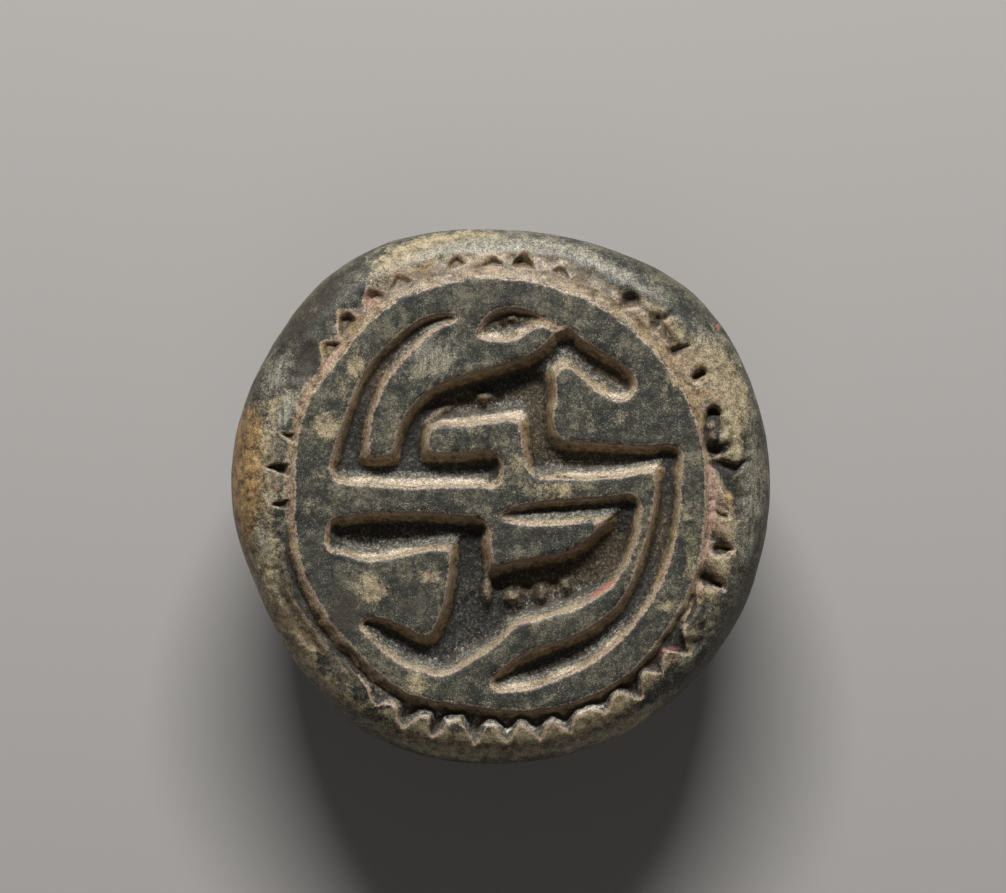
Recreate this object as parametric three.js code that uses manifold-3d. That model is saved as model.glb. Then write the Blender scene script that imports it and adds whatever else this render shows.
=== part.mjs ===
// Round seal amulet of dark soft stone: a domed stone with a carved face.
// Millimetres, +Z up. It lies on its domed back with the carved face up; the origin is at the
// middle of the small flat spot that it rests on.
import * as THREE from 'three';
import Module from 'manifold-3d';
import { mergeVertices } from 'three/addons/utils/BufferGeometryUtils.js';
import { ConvexGeometry } from 'three/addons/geometries/ConvexGeometry.js';

// ---- The stone -------------------------------------------------------------------------------
const height = 12.6;          // flat spot to carved face
const wideRadius = 15;        // nominal radius at the widest level
const shoulder = 2.9;         // radius of the rounding between the face and the widest level
const flatSpot = 4.4;         // radius of the resting spot
const rimSides = 96;
const shoulderSteps = 7;
const domeSteps = 9;
const stoneColour = 0x3b3a34;

// The rim was ground by hand: its true radius at a few bearings, in degrees from +X.
const rim = [
  [0, 15.05], [22, 15.35], [46, 15.65], [66, 15.15], [90, 14.95], [106, 15.35], [124, 15.7],
  [146, 15.35], [170, 15.2], [182, 15.05], [198, 14.6], [214, 14.65], [240, 15.15], [262, 15],
  [280, 14.85], [310, 14.9], [340, 14.9],
];
// Edge of the figured disc inside the ring groove, in the same way.
const disc = [
  [0, 11.35], [20, 11.65], [45, 11.75], [70, 11.95], [98, 12.3], [122, 12.3], [140, 11.85],
  [155, 11.95], [180, 11.45], [200, 11.8], [228, 11.85], [245, 12.05], [258, 11.7], [274, 11.8],
  [294, 12.1], [318, 11.8], [345, 11.5],
];

// ---- The carving -----------------------------------------------------------------------------
const wallAngle = 64;         // slope of a groove's walls, in degrees
const depthPerWidth = 1.15;   // a broader stroke is cut deeper ...
const deepest = 1.35;         // ... down to here
const lift = 0.4;             // how far a cutter stands out of the face
const toolSides = 8;
const strokeStep = 1.25;      // length of one straight cut along a stroke

// Each stroke is a smooth line through [x, y, half width at the face].
const strokes = {
  smallHorn: [[-2.9, 9.85, 0.15], [-4.3, 9.4, 0.45], [-6.65, 7.2, 0.6], [-7.7, 5.05, 0.65],
    [-8.4, 2.3, 0.9]],
  groundLine: [[-8.7, 1.8, 0.7], [-7.4, 1.5, 0.75], [-5.8, 1.5, 0.9], [-1, 1.5, 0.95]],
  haunch: [[-5.7, 1.8, 0.7], [-4.7, 3.3, 0.75], [-3.6, 4.8, 1], [-2.5, 5.3, 1.3], [1.2, 6, 1.55]],
  neck: [[1.2, 6, 1.45], [2.2, 7.2, 0.9], [3.65, 8.55, 0.6]],
  muzzle: [[3.65, 8.55, 0.6], [5.35, 7.35, 0.9], [6.5, 6.4, 0.9], [6.7, 6.15, 0.65]],
  ear: [[-1.25, 9.4, 0.2], [-0.3, 9.5, 0.65], [0.6, 9.6, 1], [1.6, 9.85, 0.65], [2.65, 9.8, 0.3],
    [4.3, 8.5, 0.45]],
  foreleg: [[1.75, 5.7, 0.9], [1.95, 4, 0.9], [2.4, 2.4, 0.95]],
  hornRoot: [[2.45, 2.25, 0.95], [5, 2.1, 1], [9, 2.25, 0.6]],
  longHorn: [[9.3, 2.2, 0.6], [9.15, -0.85, 0.7], [8, -4.8, 0.85], [5.1, -8, 0.95],
    [1.75, -9.55, 0.95], [0, -10.2, 0.55]],
  tail: [[-8.8, -2.05, 0.95], [-7.2, -2.15, 1.3], [-4, -1.8, 1.05], [-1.35, -1.9, 0.75]],
  hindLeg: [[-1.75, -1.95, 1.05], [-1.7, -4.1, 1.2], [-2.4, -7.4, 1.2], [-3.1, -8.45, 1]],
  hindFoot: [[-7.3, -7.05, 0.45], [-6.2, -7.65, 0.85], [-5, -8.4, 0.95], [-3.6, -8.85, 0.95]],
  backLine: [[0.05, -1.1, 0.2], [0.85, -0.9, 0.45], [2.3, -0.75, 0.6], [7, -0.5, 0.6]],
  belly: [[6.95, -0.6, 0.7], [6.6, -1.85, 1], [5.15, -3.8, 1.45], [3.7, -4.6, 1.55],
    [0, -5.7, 1.6], [-1.8, -7, 1.55], [-3, -8.3, 1.1]],
};

const ringDepth = 0.9;        // groove round the figured disc
const ringOffsets = [0, 0.4, 0.6, 0.95]; // its section, outward from the disc's edge
// The border is rows of V-cuts from the ring groove out over the shoulder; the ridges left between
// them make a zigzag. Bearings in degrees; reach is the radius at a cut's outer tip, depth is how far
// it goes down into the groove, and flank is the slope of its two sides.
const tipFall = 1.3;          // slope of a cut's bottom from its tip down to its full depth
const borderRows = [
  { start: 12.5, step: 10, count: 1, reach: 13.1, depth: 0.8, flank: 1.5 },
  { start: 22.5, step: 8.2, count: 6, reach: 13.6, depth: 0.7, flank: 1.3 },
  { start: 71, step: 6, count: 1, reach: 13.3, depth: 0.4, flank: 1 },
  { start: 84.5, step: 7.7, count: 8, reach: 13.8, depth: 0.5, flank: 0.9 },
  { start: 163.5, step: 9, count: 3, reach: 13.2, depth: 0.6, flank: 2 },
  { start: 207, step: 11, count: 2, reach: 13.4, depth: 0.5, flank: 0.9 },
  { start: 238, step: 8.2, count: 11, reach: 14, depth: 0.88, flank: 0.95 },
  { start: 337, step: 9.2, count: 4, reach: 13.6, depth: 0.8, flank: 1.2 },
];

// ---- The string hole -------------------------------------------------------------------------
const holeHeight = 5;         // bored along X, drilled from both ends
const holeWaist = 1.25;       // radius in the middle
const holeMouth = 1.9;        // radius where it comes out
const holeSides = 20;

const wasm = await Module();
wasm.setup();

/** A closed three.js geometry as a manifold solid. */
function solid(geometry) {
  const bare = geometry.clone();
  bare.deleteAttribute('normal');
  bare.deleteAttribute('uv');
  const merged = mergeVertices(bare, 1e-5);
  const corners = merged.index.array;
  const kept = [];
  for (let i = 0; i < corners.length; i += 3) {
    const [a, b, c] = corners.slice(i, i + 3);
    if (a !== b && b !== c && c !== a) kept.push(a, b, c);
  }
  const vertProperties = new Float32Array(merged.attributes.position.array);
  const triVerts = new Uint32Array(kept);
  return new wasm.Manifold(new wasm.Mesh({ numProp: 3, vertProperties, triVerts }));
}

/** A manifold solid as a three.js geometry. */
function geometryOf(manifold) {
  const mesh = manifold.getMesh();
  const geometry = new THREE.BufferGeometry();
  geometry.setAttribute('position', new THREE.BufferAttribute(mesh.vertProperties, 3));
  geometry.setIndex(new THREE.BufferAttribute(mesh.triVerts, 1));
  geometry.computeVertexNormals();
  return geometry;
}

/** The radius at a bearing, smoothly through the bearings of a table. */
function radiusAt(table, bearing) {
  const count = table.length;
  const turn = ((bearing % 360) + 360) % 360;
  let next = table.findIndex(([degrees]) => degrees > turn);
  if (next < 0) next = count;
  const knot = (i) => {
    const lap = Math.floor(i / count);
    const [degrees, radius] = table[i - lap * count];
    return [degrees + 360 * lap, radius];
  };
  const [before, from, to, after] = [next - 2, next - 1, next, next + 1].map(knot);
  const span = to[0] - from[0];
  const t = (turn - from[0]) / span;
  const slopeFrom = ((to[1] - before[1]) / (to[0] - before[0])) * span;
  const slopeTo = ((after[1] - from[1]) / (after[0] - from[0])) * span;
  return (2 * t ** 3 - 3 * t ** 2 + 1) * from[1] + (t ** 3 - 2 * t ** 2 + t) * slopeFrom
    + (3 * t ** 2 - 2 * t ** 3) * to[1] + (t ** 3 - t ** 2) * slopeTo;
}

const bearingOf = (x, y) => THREE.MathUtils.radToDeg(Math.atan2(y, x));

/** The uncarved stone: a domed turning whose rim follows the hand-ground outline. */
function makeStone() {
  const widest = height - shoulder;
  const domeDepth = widest / Math.sqrt(1 - (flatSpot / wideRadius) ** 2);
  const profile = [new THREE.Vector2(0, 0)];
  const domeStart = Math.acos(flatSpot / wideRadius);
  for (let i = 0; i <= domeSteps; i += 1) {
    const angle = domeStart * (1 - i / domeSteps);
    profile.push(new THREE.Vector2(wideRadius * Math.cos(angle),
      widest - domeDepth * Math.sin(angle)));
  }
  for (let i = 1; i <= shoulderSteps; i += 1) {
    const angle = (Math.PI / 2) * (i / shoulderSteps);
    profile.push(new THREE.Vector2(wideRadius - shoulder * (1 - Math.cos(angle)),
      widest + shoulder * Math.sin(angle)));
  }
  profile.push(new THREE.Vector2(0, height));
  const geometry = new THREE.LatheGeometry(profile, rimSides).rotateX(Math.PI / 2);
  const position = geometry.attributes.position;
  for (let i = 0; i < position.count; i += 1) {
    const [x, y] = [position.getX(i), position.getY(i)];
    const stretch = radiusAt(rim, bearingOf(x, y)) / wideRadius;
    position.setXY(i, x * stretch, y * stretch);
  }
  return solid(geometry);
}

/** Corner points of the tapered tool at one place on a stroke. */
function toolCorners([x, y, half]) {
  const depth = Math.min(deepest, depthPerWidth * half);
  const run = 1 / Math.tan(THREE.MathUtils.degToRad(wallAngle));
  const corners = [];
  for (let i = 0; i < toolSides; i += 1) {
    const angle = (2 * Math.PI * (i + 0.5)) / toolSides;
    const [c, s] = [Math.cos(angle), Math.sin(angle)];
    for (const rise of [lift, -depth]) {
      const radius = half + rise * run;
      corners.push(new THREE.Vector3(x + radius * c, y + radius * s, height + rise));
    }
  }
  return corners;
}

/** Cuts one stroke: short straight cuts between neighbouring places of the tool. */
function cutStroke(stone, points) {
  const line = new THREE.CatmullRomCurve3(points.map((p) => new THREE.Vector3(...p)));
  const cuts = Math.max(1, Math.round(line.getLength() / strokeStep));
  const places = line.getSpacedPoints(cuts).map((p) => toolCorners([p.x, p.y, p.z]));
  let carved = stone;
  for (let i = 0; i < cuts; i += 1) {
    carved = carved.subtract(solid(new ConvexGeometry([...places[i], ...places[i + 1]])));
  }
  return carved;
}

/** The groove round the figured disc. */
function makeRing() {
  const [inner, floorIn, floorOut, outer] = ringOffsets;
  const top = height + lift;
  const floor = height - ringDepth;
  const innerTop = inner - (floorIn - inner) * (lift / ringDepth);
  const section = [[innerTop, top], [floorIn, floor], [floorOut, floor], [outer, top],
    [innerTop, top]].map(([offset, z]) => new THREE.Vector2(wideRadius + offset, z));
  const geometry = new THREE.LatheGeometry(section, rimSides).rotateX(Math.PI / 2);
  const position = geometry.attributes.position;
  for (let i = 0; i < position.count; i += 1) {
    const [x, y] = [position.getX(i), position.getY(i)];
    const radius = Math.hypot(x, y);
    const wanted = radius - wideRadius + radiusAt(disc, bearingOf(x, y));
    position.setXY(i, (x * wanted) / radius, (y * wanted) / radius);
  }
  return solid(geometry);
}

/** One V-cut of the border, from inside the ring groove out to its tip on the shoulder. */
function makeBorderCut(bearing, { reach, depth, flank }) {
  const angle = THREE.MathUtils.degToRad(bearing);
  const rimScale = radiusAt(rim, bearing) / wideRadius;
  const over = Math.max(0, reach / rimScale - (wideRadius - shoulder));
  const surface = height - shoulder + Math.sqrt(shoulder ** 2 - over ** 2);
  const floor = height - depth;
  const start = radiusAt(disc, bearing) + ringOffsets[1];
  const fullDepth = reach - (surface - floor) / tipFall;
  const top = height + lift;
  const corners = [];
  for (const [radius, bottom] of [[start, floor], [fullDepth, floor], [reach, surface]]) {
    for (const [side, z] of [[0, bottom], [-1, top], [1, top]]) {
      const across = (side * (top - bottom)) / flank;
      corners.push(new THREE.Vector3(
        radius * Math.cos(angle) - across * Math.sin(angle),
        radius * Math.sin(angle) + across * Math.cos(angle), z));
    }
  }
  return solid(new ConvexGeometry(corners));
}

/** The string hole: two cones bored from the sides that meet at a waist in the middle. */
function makeHole() {
  const end = wideRadius + 1;
  const profile = [[0, -end], [holeMouth, -end], [holeWaist, 0], [holeMouth, end], [0, end]];
  const geometry = new THREE.LatheGeometry(
    profile.map(([radius, along]) => new THREE.Vector2(radius, along)), holeSides);
  return solid(geometry.rotateZ(-Math.PI / 2).translate(0, 0, holeHeight));
}

let stone = makeStone().subtract(makeHole()).subtract(makeRing());
for (const row of borderRows) {
  for (let i = 0; i < row.count; i += 1) {
    stone = stone.subtract(makeBorderCut(row.start + i * row.step, row));
  }
}
for (const points of Object.values(strokes)) stone = cutStroke(stone, points);

const amulet = new THREE.Group();
const sealStone = new THREE.Mesh(geometryOf(stone), new THREE.MeshStandardMaterial({
  color: stoneColour, roughness: 0.5, metalness: 0,
}));
sealStone.name = 'seal_stone';
amulet.add(sealStone);

export default amulet;
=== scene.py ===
"""Round seal amulet of dark soft stone, lying on its domed back with the carved face up."""
import math

import bmesh
import bpy
import numpy as np
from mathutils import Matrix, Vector


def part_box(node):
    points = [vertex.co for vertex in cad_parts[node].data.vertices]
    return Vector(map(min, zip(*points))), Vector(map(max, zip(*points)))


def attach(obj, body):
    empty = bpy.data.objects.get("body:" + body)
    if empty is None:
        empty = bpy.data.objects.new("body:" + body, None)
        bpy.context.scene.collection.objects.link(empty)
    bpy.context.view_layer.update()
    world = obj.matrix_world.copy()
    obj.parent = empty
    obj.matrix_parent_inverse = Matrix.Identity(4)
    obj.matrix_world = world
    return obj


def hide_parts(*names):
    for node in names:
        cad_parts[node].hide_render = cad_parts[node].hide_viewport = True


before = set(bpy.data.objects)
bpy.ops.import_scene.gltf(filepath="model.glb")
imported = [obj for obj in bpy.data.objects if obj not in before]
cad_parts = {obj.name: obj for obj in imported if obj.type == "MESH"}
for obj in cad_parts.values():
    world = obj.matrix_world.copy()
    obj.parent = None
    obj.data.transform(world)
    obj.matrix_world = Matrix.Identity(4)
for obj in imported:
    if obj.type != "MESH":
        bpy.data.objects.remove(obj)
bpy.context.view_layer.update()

# ---- Sizes, in millimetres ----
MM = 0.001
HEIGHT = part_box("seal_stone")[1][2] / MM   # flat spot to carved face
WIDE = 15.0                   # nominal radius at the widest level
SHOULDER = 2.9                # rounding between the face and the widest level
FLAT_SPOT = 4.4               # radius of the resting spot
SPOT_EDGE = 0.06              # rounding round the flat spot
SPOT_TOP = 0.05               # the surface is left even below this height
WIDEST = HEIGHT - SHOULDER
DOME_DEPTH = WIDEST / math.sqrt(1 - (FLAT_SPOT / WIDE) ** 2)

FACE_DIVISIONS = 288          # fine grid over the face and shoulder
BACK_DIVISIONS = 108          # coarser grid over the plain dome
GRID_GAP = 3                  # degrees of the rounding from each grid's rim to the widest level

# Radius at a few bearings, degrees from +X: the hand-ground rim, and the figured disc's edge.
RIM = [
    (0, 15.05), (22, 15.35), (46, 15.65), (66, 15.15), (90, 14.95), (106, 15.35), (124, 15.7),
    (146, 15.35), (170, 15.2), (182, 15.05), (198, 14.6), (214, 14.65), (240, 15.15), (262, 15),
    (280, 14.85), (310, 14.9), (340, 14.9),
]
DISC = [
    (0, 11.35), (20, 11.65), (45, 11.75), (70, 11.95), (98, 12.3), (122, 12.3), (140, 11.85),
    (155, 11.95), (180, 11.45), (200, 11.74), (214, 11.68), (228, 11.7), (245, 11.98), (258, 11.7),
    (274, 11.8), (294, 12.1), (318, 11.8), (345, 11.5),
]

# ---- The figures and the cracks ----
# Carved strokes, each a smooth line through (x, y, half width at the face).
STROKES = {
    "small_horn": [
        (-2.75, 9.95, 0.2), (-3.6, 9.75, 0.36), (-4.3, 9.4, 0.46), (-6.65, 7.2, 0.6),
        (-7.7, 5.05, 0.65), (-8.35, 2.6, 0.85), (-8.4, 1.75, 0.75),
    ],
    "ground_line": [(-8.7, 1.65, 0.75), (-7.4, 1.5, 0.75), (-5.8, 1.5, 0.85), (-1, 1.6, 0.93)],
    "ground_end": [(-0.43, 2.03, 0.33), (-0.46, 1.1, 0.38)],
    "haunch": [
        (-5.05, 1.5, 0.7), (-5.05, 2.3, 0.9), (-4.9, 3.4, 0.85), (-4.4, 4.4, 0.8), (-3.5, 5, 1),
        (-2.5, 5.3, 1.25), (1.2, 6, 1.55),
    ],
    "neck": [(1.2, 6, 1.45), (2.2, 7.2, 0.9), (3.65, 8.55, 0.6)],
    "muzzle": [(3.55, 8.4, 0.7), (5.25, 7.25, 0.9), (6.5, 6.35, 0.9), (6.75, 6.1, 0.65)],
    "ear": [
        (-1.0, 9.15, 0.3), (-0.3, 9.45, 0.72), (0.5, 9.65, 0.85), (1.6, 9.85, 0.5), (2.5, 9.7, 0.15),
        (3.4, 9.2, 0.15),
    ],
    "foreleg": [(1.9, 5.7, 0.98), (2, 4, 0.9), (2.4, 2.2, 0.95)],
    "horn_root": [(2.45, 2.2, 0.95), (5, 2.05, 1), (9, 2.2, 0.6)],
    "horn_corner": [(9.1, 2.25, 0.45), (9.35, 2.2, 0.45)],
    "long_horn": [
        (9.3, 2.2, 0.6), (9.15, -0.85, 0.7), (8.2, -4.3, 0.75), (7.05, -6.3, 0.67), (5.05, -8.1, 0.82),
        (1.75, -9.55, 0.95), (0, -10.2, 0.55),
    ],
    "tail_end": [(-9.15, -1.75, 0.42), (-9.15, -2.5, 0.46)],
    "tail": [(-8.6, -2.05, 0.9), (-7.2, -2.15, 1.25), (-4, -1.85, 1), (-1.6, -1.95, 0.7)],
    "leg_top": [(-2.5, -1.75, 0.45), (-1.2, -1.85, 0.42)],
    "hind_leg": [(-1.75, -2.2, 0.95), (-1.7, -4.1, 1.15), (-2.25, -7.3, 1.1), (-2.95, -8.5, 0.95)],
    "hind_foot": [(-7.3, -7.05, 0.45), (-6.2, -7.65, 0.8), (-5, -8.4, 0.9), (-3.6, -8.85, 0.92)],
    "back_line": [(0.05, -1.1, 0.15), (0.85, -0.95, 0.42), (2.3, -0.85, 0.62), (7, -0.55, 0.6)],
    "belly": [
        (6.95, -0.6, 0.65), (6.6, -1.85, 0.95), (5.15, -3.8, 1.4), (3.7, -4.6, 1.55), (0, -5.6, 1.7),
        (-1.6, -7.1, 1.6), (-3, -8.35, 1.1),
    ],
}
# Cracks, slits and dents in the border, in the same way.
CRACKS = {
    "left_crack": [
        (-12.4, -1.6, 0.02), (-12.0, -3.5, 0.05), (-11.6, -5.2, 0.08), (-10.7, -6.8, 0.1),
        (-9.5, -8.4, 0.12), (-8.5, -9.6, 0.08),
    ],
    "right_slot": [(11.8, 4.72, 0.36), (11.72, 4, 0.4), (11.7, 3.3, 0.37), (11.76, 2.7, 0.42)],
    "slot_slope": [(12.1, 4.35, 0.25), (12.0, 3.6, 0.4), (12.1, 3.0, 0.3)],
    "slot_spur": [(11.9, 2.65, 0.34), (12.5, 2.72, 0.2)],
    "right_hollow": [(12.25, 1.4, 0.42), (12.75, 0.7, 0.48), (13.1, 0.05, 0.3)],
    "right_slit": [(12.05, 1.75, 0.26), (12.8, 1.68, 0.28), (13.7, 1.98, 0.05)],
    "right_crack": [(10.75, -5.6, 0.18), (10.6, -6.3, 0.2), (10.1, -7.1, 0.1)],
    "round_pit": [(7.0, 10.85, 0.42), (7.3, 11.0, 0.42)],
    "notch_arm": [(8.6, 9.6, 0.26), (9.5, 10.15, 0.08)],
    "notch_foot": [(8.4, 10.05, 0.15), (8.9, 9.3, 0.28), (9.6, 8.4, 0.15)],
    "brown_pit": [(9.7, 8.05, 0.3), (10.35, 8.4, 0.14)],
    "black_hole": [(10.9, 6.75, 0.3), (11.15, 6.85, 0.27)],
    "pit_upper": [(12.1, -0.85, 0.26), (12.5, -0.95, 0.2)],
    "pit_middle": [(12.0, -2.88, 0.42), (12.5, -2.98, 0.36)],
    "pit_lower": [(11.35, -4.6, 0.42), (12.05, -4.8, 0.36)],
}
# Ridges left standing on the floors, in the same way.
LEDGES = {
    "haunch_ledge": [(-4.35, 4.05, 0.06), (-3.9, 4.4, 0.13), (-3.3, 4.8, 0.12), (-2.6, 5.1, 0.03)],
}
DEPTH_PER_WIDTH = 1.15        # depth of the figures for each millimetre of half width
CRACK_DEPTH = 2.2             # the same for the cracks
CRACK_BARENESS = 1.3          # a crack bares the stone this much sooner than a stroke does
LEDGE_RISE = 3.0              # the same for the rise of a ledge
LEDGE_EARTH = 2               # a ledge is as earthy as a lump this many times its height
DEEPEST = 1.35                # but nothing is cut deeper than this
# Cuts that are shallower or deeper than their width asks for, as a share of that depth.
SHARE = {
    "ear": 0.65, "back_line": 0.85, "hind_foot": 0.9, "haunch": 1.1, "left_crack": 0.7,
    "right_slot": 0.55, "slot_slope": 0.35, "slot_spur": 0.6, "right_hollow": 0.4,
    "right_slit": 0.9, "round_pit": 0.55, "notch_arm": 0.6, "notch_foot": 0.45,
    "brown_pit": 0.7, "pit_upper": 0.75, "pit_middle": 0.7, "pit_lower": 0.7,
}
LIP_SPREAD = 0.03             # how far wear has opened the strokes on either side
WALL_RUN = 0.6                # how far a wall runs in for each millimetre down
UPPER_WALL_EASE = 0.25        # walls on the +Y side of a stroke lean back by this much more
LOWER_WALL_EASE = 0.85        # and those on the -Y side by this much
LONGEST_RUN = 0.68            # but no wall runs in further than this
# Cuts with steeper walls, and the share of that run that they have.
STEEP = {"right_slot": 0.45, "right_slit": 0.5, "slot_spur": 0.6, "black_hole": 0.7}
WALL_CURVE = 1.6              # 1 for a straight wall; more makes it steep at the lip
COATED = 0.6                  # anything carved shallower than this keeps more of its coat
UNION = 10                    # how sharply strokes that overlap keep their own floors

# ---- The ring groove and the border ----
# The groove round the disc: (bearing, width at the face, depth, slope of its outer side, how far
# its inner wall runs in for each millimetre down).
RING = [
    (0, 0.6, 0.5, 0.8, 0.6), (25, 0.8, 0.35, 0.4, 0.6), (45, 0.95, 0.3, 0.3, 0.8),
    (65, 0.95, 0.25, 0.3, 0.9), (100, 0.9, 0.22, 0.25, 0.9), (130, 0.8, 0.25, 0.3, 0.8),
    (150, 0.5, 0.32, 0.8, 0.8), (168, 0.45, 0.36, 0.8, 0.8), (185, 0.65, 0.45, 1.0, 1.1),
    (200, 1.05, 0.62, 1.8, 1.15), (218, 1.15, 0.95, 1.8, 0.92), (232, 1.1, 1.0, 1.8, 0.85),
    (240, 1.05, 1, 1.5, 0.75), (250, 1.0, 1.05, 1.8, 0.68), (262, 0.9, 1.05, 1.8, 0.6),
    (275, 0.75, 1.05, 1.8, 0.6), (290, 0.65, 1, 1.8, 0.6), (305, 0.6, 0.95, 1.7, 0.6),
    (318, 0.65, 0.9, 1.6, 0.6), (330, 0.6, 0.8, 1.4, 0.6), (345, 0.5, 0.7, 1.2, 0.6),
]
# Border cuts: (bearing, radius at the tip, half width at the mouth, depth, and how far the mouth
# leans round from the tip).
BORDER = [
    (238.6, 13.5, 0.85, 0.6, 0), (246.7, 13.95, 0.85, 0.9, 0), (254.2, 13.9, 0.8, 0.9, 0),
    (263.7, 13.85, 0.9, 0.95, 0), (271.3, 13.7, 0.85, 0.95, 0), (279.4, 13.55, 0.9, 0.95, 0),
    (286.4, 13.62, 0.85, 0.9, 0), (296, 13.4, 0.9, 0.85, 0), (304.9, 13.7, 0.9, 0.85, 0),
    (312.5, 13.4, 0.7, 0.7, 0), (320.5, 13.7, 0.8, 0.55, 0), (337, 13.5, 0.9, 0.6, 0.8),
    (346.6, 13.42, 1.1, 0.5, 1.1), (355.6, 12.9, 1.0, 0.5, 1.1), (70, 13.35, 0.4, 0.3, 0),
    (75.4, 13.45, 0.42, 0.45, 0), (84.5, 13.9, 0.5, 0.85, 0), (92, 13.65, 0.42, 0.8, 0),
    (100.6, 13.75, 0.45, 0.5, 0), (107.5, 13.7, 0.5, 0.24, 0), (115, 13.75, 0.6, 0.45, 0),
    (122.6, 13.9, 0.5, 0.85, 0), (131.5, 13.75, 0.6, 0.7, 0), (139, 13.4, 0.5, 0.5, 0),
    (163.7, 13.0, 0.12, 0.5, 0), (172.5, 13.35, 0.19, 0.7, 0), (181.5, 13.15, 0.13, 0.55, 0),
]
PAINTED_SHADOW_BEARINGS = (180, 190, 228, 234)   # bearings between which the ring's outer part is painted dark, a painted shadow
PAINTED_SHADOW_LINE = (0.45, 0.65)   # where across the ring that painted shadow starts
TIP_WIDTH = 0.16              # rounding of a cut's tip
TIP_FALL = 1.15               # slope of a cut's bottom from its tip inwards
GENTLE_FALL = 0.7             # the same for the cuts that lean
MOUTH_CURVE = 1.75            # how fast a cut opens at its mouth, which rounds the teeth between
PIT_CURVE = 0.7               # the same for the cuts that are deeper than the ring
CUT_REACH = 0.35              # how far a cut runs into a ring groove that is shallower than it
CUT_END = 2                   # slope of its inner end there
CUT_SPAN = 1.2                # how far to either side a cut is worked out, in half widths
LIP_DEPTH = 0.5               # a cut deeper than this counts as this deep where lips are coloured
TOOTH_WEAR = 0.1              # rounding of the ridges between the cuts
TOOTH_COAT = 0.35             # depth at which the coat of a cut gives way to bare stone
THIN_COAT = 0.2               # a ring groove shallower than this is coated all over
# How far the band outside the ring is worn down: (bearing, depth).
BAND_WEAR = [
    (0, 0.1), (25, 0.25), (55, 0.3), (85, 0.25), (110, 0.28), (135, 0.28), (155, 0.28), (180, 0.25),
    (200, 0.35), (222, 0.3), (245, 0), (300, 0), (335, 0.05),
]

# ---- Wear ----
CORNER_WEAR = 0.2             # rounding of the land where two strokes meet
LIP_WEAR = 0.05               # rounding of the lips of the carving
CREASE = 0.05                 # rounding where two walls meet
NEAR = 0.8                    # how far past a stroke its wear is worked out
FAR = 9.0                     # stands for a place with no carving near it

# Where each sort of wear comes in: none at the first value, and all of it at the second.
CARVED_ABOVE = (WIDEST + 0.1, WIDEST + 0.6)   # height of the lowest cuts
LUMPS_FROM = (0.3, 0.7)       # depth of a cut that has lumps and ledges on its floor
GRAIN_FROM = (0.3, 0.8)       # depth of a cut that has a rough floor
CLODS_FROM = (0.1, 0.3)       # depth of a cut whose lumps are earthy
CLOD_RISE = (0.15, 0.4)       # and their rise
BAND_FROM = (0, 0.45)         # distance from the disc's edge to the worn band
BAND_END = (13.1, 14.2)       # radius at which the worn band runs out
BORDER_FROM = (12, 12.4)      # radius of the rough border
BORDER_DEPTH = (0.05, 0.2)    # depth of its cuts
LOOSE_FROM = (11, 12.6)       # radius at which the lips grow more ragged
SHOULDER_FROM = (12.4, 13.6)  # radius of the uneven shoulder

# How far the lips of the cuts wander, the size of the bends, and the seeds for x and y.
WANDER = {
    "figures": (0.05, 1.1, 1, 5), "cracks": (0.09, 0.6, 80, 90), "border": (0.11, 0.7, 60, 70),
}
# How uneven each part of the surface is: (height, size of the bumps, octaves, seed).
UNEVEN = {
    "everywhere": (0.012, 1.5, 3, 9), "floors": (0.05, 0.35, 2, 12),
    "shoulder": (0.04, 2.5, 4, 20), "border": (0.07, 0.8, 4, 40), "broken": (0.12, 0.9, 4, 50),
}
# Broken places where the surface is rough: (x, y, reach along x and y, strength).
BROKEN = [
    (10.5, -8.0, 0.8, 0.7, 1.3), (11.2, -7.0, 0.9, 1.1, 1.5), (10.2, -9.1, 0.6, 0.5, 0.6),
    (-12.6, -4.3, 0.6, 1.6, 1.4), (-11.3, -8.0, 0.8, 1.4, 1.3), (-12.0, -6.3, 0.6, 1.2, 1.2),
    (12.9, 0.6, 0.8, 1.1, 1.0), (12.2, 9.3, 0.5, 0.6, 0.6), (-13.0, 2.0, 0.7, 1.5, 0.7),
    (12.2, 3.8, 0.6, 1.4, 0.8), (11.9, 6.5, 0.8, 1.5, 0.5), (-12.2, 5.5, 0.5, 0.8, 0.5),
]
# Lumps left standing on the floors, and pits sunk in them: (x, y, reach along x and y, rise).
LUMPS = [
    (-0.95, 5.6, 0.38, 0.3, 0.8), (-1.95, 5.5, 0.35, 0.4, -0.25), (0, 5.6, 0.3, 0.35, -0.25),
    (0.55, 9.95, 0.35, 0.2, 0.25), (0.1, 9.5, 0.2, 0.2, -0.2), (5.7, 6.4, 0.6, 0.35, 0.2),
    (-0.8, -5.2, 0.32, 0.75, 0.6), (0.6, -5.65, 0.52, 0.52, 0.55), (2.25, -5.35, 0.3, 0.38, 0.5),
    (3.6, -4.95, 0.28, 0.3, 0.45), (-0.2, -4.9, 0.3, 0.3, -0.2), (1.45, -4.95, 0.3, 0.3, -0.2),
    (2.9, -4.75, 0.3, 0.3, -0.2), (5.76, -8.6, 0.22, 0.17, -0.35), (11.8, 4.85, 0.35, 0.2, -0.6),
    (11.95, 2.6, 0.45, 0.22, -0.5), (11.66, 4.1, 0.3, 0.35, 0.3), (11.78, 3.35, 0.3, 0.35, 0.36),
]
LUMP_ROUGH, LUMP_GRAIN = 0.7, (0.45, 3, 30)   # unevenness of the lumps: share of their rise, bumps

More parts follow.
